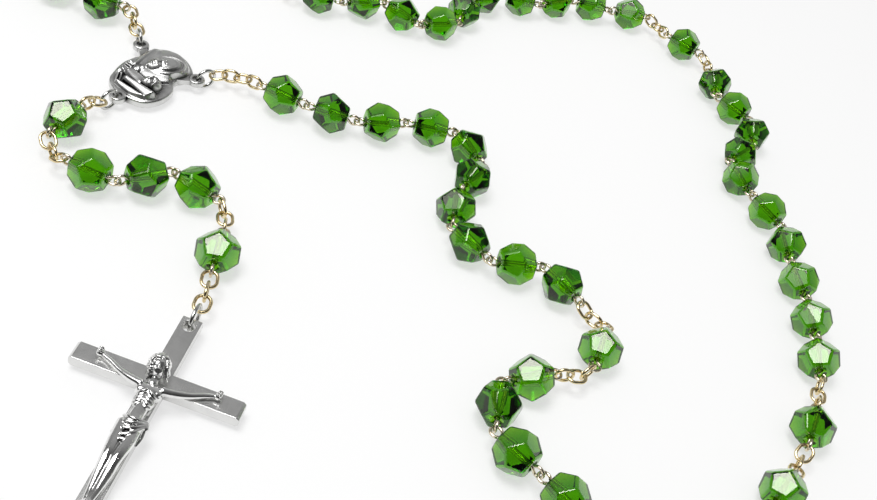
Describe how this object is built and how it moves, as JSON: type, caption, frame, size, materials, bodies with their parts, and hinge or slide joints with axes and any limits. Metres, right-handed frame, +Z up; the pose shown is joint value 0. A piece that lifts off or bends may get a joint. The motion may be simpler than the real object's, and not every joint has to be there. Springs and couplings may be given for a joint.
{
  "type": "rosary",
  "caption": "Loop of faceted glass beads on linked wire with a centre medal, from which a short pendant of beads ends in a crucifix.",
  "frame": {"origin": "middle of the laid-out rosary's outline on the table under it", "axes": "+Z up from the table, +Y from the crucifix's foot to its top, +X along its crossbar"},
  "size_m": [0.18, 0.182, 0.0075],
  "materials": {
    "bead_glass": "polished transparent green",
    "gold_wire": "pale gold plate",
    "silver": "antique silver, dark in the recesses",
    "figure_silver": "polished antique silver"
  },
  "bodies": {
    "ring_right": {"ring_right": "silver"},
    "chain_1": {"chain_1": "gold_wire"},
    "hail_mary_1a": {"hail_mary_1a_beads": "bead_glass", "hail_mary_1a_wires": "gold_wire"},
    "hail_mary_1b": {"hail_mary_1b_beads": "bead_glass", "hail_mary_1b_wires": "gold_wire"},
    "chain_2": {"chain_2": "gold_wire"},
    "our_father_1": {"our_father_1_bead": "bead_glass", "our_father_1_wire": "gold_wire"},
    "chain_3": {"chain_3": "gold_wire"},
    "hail_mary_2a": {"hail_mary_2a_beads": "bead_glass", "hail_mary_2a_wires": "gold_wire"},
    "hail_mary_2b": {"hail_mary_2b_beads": "bead_glass", "hail_mary_2b_wires": "gold_wire"},
    "chain_4": {"chain_4": "gold_wire"},
    "our_father_2": {"our_father_2_bead": "bead_glass", "our_father_2_wire": "gold_wire"},
    "chain_5": {"chain_5": "gold_wire"},
    "hail_mary_3a": {"hail_mary_3a_beads": "bead_glass", "hail_mary_3a_wires": "gold_wire"},
    "hail_mary_3b": {"hail_mary_3b_beads": "bead_glass", "hail_mary_3b_wires": "gold_wire"},
    "chain_6": {"chain_6": "gold_wire"},
    "our_father_3": {"our_father_3_bead": "bead_glass", "our_father_3_wire": "gold_wire"},
    "chain_7": {"chain_7": "gold_wire"},
    "hail_mary_4a": {"hail_mary_4a_beads": "bead_glass", "hail_mary_4a_wires": "gold_wire"},
    "hail_mary_4b": {"hail_mary_4b_beads": "bead_glass", "hail_mary_4b_wires": "gold_wire"},
    "chain_8": {"chain_8": "gold_wire"},
    "our_father_4": {"our_father_4_bead": "bead_glass", "our_father_4_wire": "gold_wire"},
    "chain_9": {"chain_9": "gold_wire"},
    "hail_mary_5a": {"hail_mary_5a_beads": "bead_glass", "hail_mary_5a_wires": "gold_wire"},
    "hail_mary_5b": {"hail_mary_5b_beads": "bead_glass", "hail_mary_5b_wires": "gold_wire"},
    "chain_10": {"chain_10": "gold_wire"},
    "ring_left": {"ring_left": "silver"},
    "ring_pendant": {"ring_pendant": "silver"},
    "pendant_chain_1": {"pendant_chain_1": "gold_wire"},
    "pendant_our_father_1": {"pendant_our_father_1_bead": "bead_glass", "pendant_our_father_1_wire": "gold_wire"},
    "pendant_chain_2": {"pendant_chain_2": "gold_wire"},
    "pendant_hail_mary_1": {"pendant_hail_mary_1_bead": "bead_glass", "pendant_hail_mary_1_wire": "gold_wire"},
    "pendant_hail_mary_2": {"pendant_hail_mary_2_bead": "bead_glass", "pendant_hail_mary_2_wire": "gold_wire"},
    "pendant_hail_mary_3": {"pendant_hail_mary_3_bead": "bead_glass", "pendant_hail_mary_3_wire": "gold_wire"},
    "pendant_chain_3": {"pendant_chain_3": "gold_wire"},
    "pendant_our_father_2": {"pendant_our_father_2_bead": "bead_glass", "pendant_our_father_2_wire": "gold_wire"},
    "pendant_chain_4": {"pendant_chain_4": "gold_wire"},
    "ring_crucifix": {"ring_crucifix": "silver"},
    "medal": {"medal": "silver"},
    "crucifix": {"crucifix": "silver", "corpus": "figure_silver"}
  },
  "joints": [
    {"name": "ring_right_swing", "type": "hinge", "parent": "medal", "child": "ring_right", "pos_m": [-0.03517, 0.00922, 0.00212], "axis": [-0.766, 0.6428, 0], "range_deg": [-45, 45]},
    {"name": "chain_1_swing", "type": "hinge", "parent": "ring_right", "child": "chain_1", "pos_m": [-0.03417, 0.01071, 0.00238], "axis": [0.5736, -0.8192, 0], "range_deg": [-45, 45]},
    {"name": "hail_mary_1a_swing", "type": "hinge", "parent": "chain_1", "child": "hail_mary_1a", "pos_m": [-0.02533, 0.01184, 0.00378], "axis": [0.0872, 0.9962, 0], "range_deg": [-45, 45]},
    {"name": "hail_mary_1b_swing", "type": "hinge", "parent": "hail_mary_1a", "child": "hail_mary_1b", "pos_m": [0.01973, 0.01296, 0.00378], "axis": [-0.9659, 0.2588, 0], "range_deg": [-45, 45]},
    {"name": "chain_2_swing", "type": "hinge", "parent": "hail_mary_1b", "child": "chain_2", "pos_m": [0.04288, -0.01357, 0.00378], "axis": [0.5736, 0.8192, 0], "range_deg": [-45, 45]},
    {"name": "our_father_1_swing", "type": "hinge", "parent": "chain_2", "child": "our_father_1", "pos_m": [0.04864, -0.01783, 0.00378], "axis": [-0.8192, -0.5736, 0], "range_deg": [-45, 45]},
    {"name": "chain_3_swing", "type": "hinge", "parent": "our_father_1", "child": "chain_3", "pos_m": [0.04732, -0.02765, 0.00378], "axis": [0.9962, -0.0872, 0], "range_deg": [-45, 45]},
    {"name": "hail_mary_2a_swing", "type": "hinge", "parent": "chain_3", "child": "hail_mary_2a", "pos_m": [0.04212, -0.03089, 0.00378], "axis": [-0.5736, 0.8192, 0], "range_deg": [-45, 45]},
    {"name": "ring_left_swing", "type": "hinge", "parent": "medal", "child": "ring_left", "pos_m": [-0.04935, 0.01319, 0.00212], "axis": [-0.8192, -0.5736, 0], "range_deg": [-45, 45]},
    {"name": "chain_10_swing", "type": "hinge", "parent": "ring_left", "child": "chain_10", "pos_m": [-0.0503, 0.01467, 0.00246], "axis": [-0.766, -0.6428, 0], "range_deg": [-45, 45]},
    {"name": "hail_mary_5b_swing", "type": "hinge", "parent": "chain_10", "child": "hail_mary_5b", "pos_m": [-0.05524, 0.02056, 0.00378], "axis": [0.766, 0.6428, 0], "range_deg": [-30, 45]},
    {"name": "hail_mary_5a_swing", "type": "hinge", "parent": "hail_mary_5b", "child": "hail_mary_5a", "pos_m": [-0.08676, 0.04562, 0.00378], "axis": [-0.9979, -0.0653, 0], "range_deg": [-45, 45]},
    {"name": "chain_9_swing", "type": "hinge", "parent": "hail_mary_5a", "child": "chain_9", "pos_m": [-0.04834, 0.05932, 0.00378], "axis": [-0.4541, -0.891, 0], "range_deg": [-45, 45]},
    {"name": "our_father_4_swing", "type": "hinge", "parent": "chain_9", "child": "our_father_4", "pos_m": [-0.04375, 0.05526, 0.00378], "axis": [0.6428, 0.766, 0], "range_deg": [-45, 45]},
    {"name": "chain_8_swing", "type": "hinge", "parent": "our_father_4", "child": "chain_8", "pos_m": [-0.03637, 0.0489, 0.00378], "axis": [-0.5, -0.866, 0], "range_deg": [-45, 45]},
    {"name": "hail_mary_4b_swing", "type": "hinge", "parent": "chain_8", "child": "hail_mary_4b", "pos_m": [-0.0295, 0.0466, 0.00378], "axis": [0.0872, 0.9962, 0], "range_deg": [-45, 45]},
    {"name": "hail_mary_4a_swing", "type": "hinge", "parent": "hail_mary_4b", "child": "hail_mary_4a", "pos_m": [0.004, 0.06733, 0.00378], "axis": [1, 0, 0], "range_deg": [-45, 45]},
    {"name": "chain_7_swing", "type": "hinge", "parent": "hail_mary_4a", "child": "chain_7", "pos_m": [0.04488, 0.08904, 0.00378], "axis": [-0.342, 0.9397, 0], "range_deg": [-45, 45]},
    {"name": "our_father_3_swing", "type": "hinge", "parent": "chain_7", "child": "our_father_3", "pos_m": [0.04917, 0.08432, 0.00378], "axis": [-0.342, -0.9397, 0], "range_deg": [-45, 45]},
    {"name": "chain_6_swing", "type": "hinge", "parent": "our_father_3", "child": "chain_6", "pos_m": [0.05843, 0.08121, 0.00378], "axis": [0.6428, 0.766, 0], "range_deg": [-45, 45]},
    {"name": "hail_mary_3b_swing", "type": "hinge", "parent": "chain_6", "child": "hail_mary_3b", "pos_m": [0.06234, 0.07516, 0.00378], "axis": [-0.9397, -0.342, 0], "range_deg": [-45, 45]},
    {"name": "hail_mary_3a_swing", "type": "hinge", "parent": "hail_mary_3b", "child": "hail_mary_3a", "pos_m": [0.07258, 0.03405, 0.00378], "axis": [0.866, 0.5, 0], "range_deg": [-45, 45]},
    {"name": "chain_5_swing", "type": "hinge", "parent": "hail_mary_3a", "child": "chain_5", "pos_m": [0.08676, -0.01101, 0.00378], "axis": [-0.9962, -0.0872, 0], "range_deg": [-45, 45]},
    {"name": "our_father_2_swing", "type": "hinge", "parent": "chain_5", "child": "our_father_2", "pos_m": [0.08592, -0.01708, 0.00378], "axis": [0.9848, -0.1736, 0], "range_deg": [-45, 45]},
    {"name": "chain_4_swing", "type": "hinge", "parent": "our_father_2", "child": "chain_4", "pos_m": [0.08441, -0.02671, 0.00378], "axis": [-0.9063, 0.4226, 0], "range_deg": [-45, 45]},
    {"name": "hail_mary_2b_swing", "type": "hinge", "parent": "chain_4", "child": "hail_mary_2b", "pos_m": [0.08181, -0.03356, 0.00378], "axis": [0.9063, -0.4226, 0], "range_deg": [-45, 45]},
    {"name": "ring_pendant_swing", "type": "hinge", "parent": "medal", "child": "ring_pendant", "pos_m": [-0.04625, -0.00481, 0.00212], "axis": [0.9063, -0.4226, 0], "range_deg": [-45, 45]},
    {"name": "pendant_chain_1_swing", "type": "hinge", "parent": "ring_pendant", "child": "pendant_chain_1", "pos_m": [-0.04697, -0.00636, 0.00257], "axis": [-0.9063, 0.4226, 0], "range_deg": [-45, 45]},
    {"name": "pendant_our_father_1_swing", "type": "hinge", "parent": "pendant_chain_1", "child": "pendant_our_father_1", "pos_m": [-0.04914, -0.01044, 0.00378], "axis": [0.9962, -0.0872, 0], "range_deg": [-45, 45]},
    {"name": "pendant_chain_2_swing", "type": "hinge", "parent": "pendant_our_father_1", "child": "pendant_chain_2", "pos_m": [-0.05051, -0.02029, 0.00378], "axis": [-0.766, -0.6428, 0], "range_deg": [-45, 45]},
    {"name": "pendant_hail_mary_1_swing", "type": "hinge", "parent": "pendant_chain_2", "child": "pendant_hail_mary_1", "pos_m": [-0.04493, -0.02497, 0.00378], "axis": [0.5, 0.866, 0], "range_deg": [-45, 45]},
    {"name": "pendant_hail_mary_2_swing", "type": "hinge", "parent": "pendant_hail_mary_1", "child": "pendant_hail_mary_2", "pos_m": [-0.03585, -0.02546, 0.00378], "axis": [0, 0, 1], "range_deg": [-25, 25]},
    {"name": "pendant_hail_mary_3_swing", "type": "hinge", "parent": "pendant_hail_mary_2", "child": "pendant_hail_mary_3", "pos_m": [-0.02846, -0.01807, 0.00378], "axis": [-0.7071, 0.7071, 0], "range_deg": [-45, 45]},
    {"name": "pendant_chain_3_swing", "type": "hinge", "parent": "pendant_hail_mary_3", "child": "pendant_chain_3", "pos_m": [-0.01886, -0.02127, 0.00378], "axis": [-0.2588, -0.9659, 0], "range_deg": [-45, 45]},
    {"name": "pendant_our_father_2_swing", "type": "hinge", "parent": "pendant_chain_3", "child": "pendant_our_father_2", "pos_m": [-0.01631, -0.02696, 0.00378], "axis": [0.9848, 0.1736, 0], "range_deg": [-45, 45]},
    {"name": "pendant_chain_4_swing", "type": "hinge", "parent": "pendant_our_father_2", "child": "pendant_chain_4", "pos_m": [-0.0145, -0.03726, 0.00378], "axis": [0, 0, 1], "range_deg": [-30, 30]},
    {"name": "ring_crucifix_swing", "type": "hinge", "parent": "pendant_chain_4", "child": "ring_crucifix", "pos_m": [-0.01335, -0.04414, 0.0027], "axis": [0.9962, 0.0872, 0], "range_deg": [-45, 45]},
    {"name": "crucifix_swing", "type": "hinge", "parent": "ring_crucifix", "child": "crucifix", "pos_m": [-0.01341, -0.04769, 0.00221], "axis": [0, 0, -1], "range_deg": [-50, 50]}
  ]
}
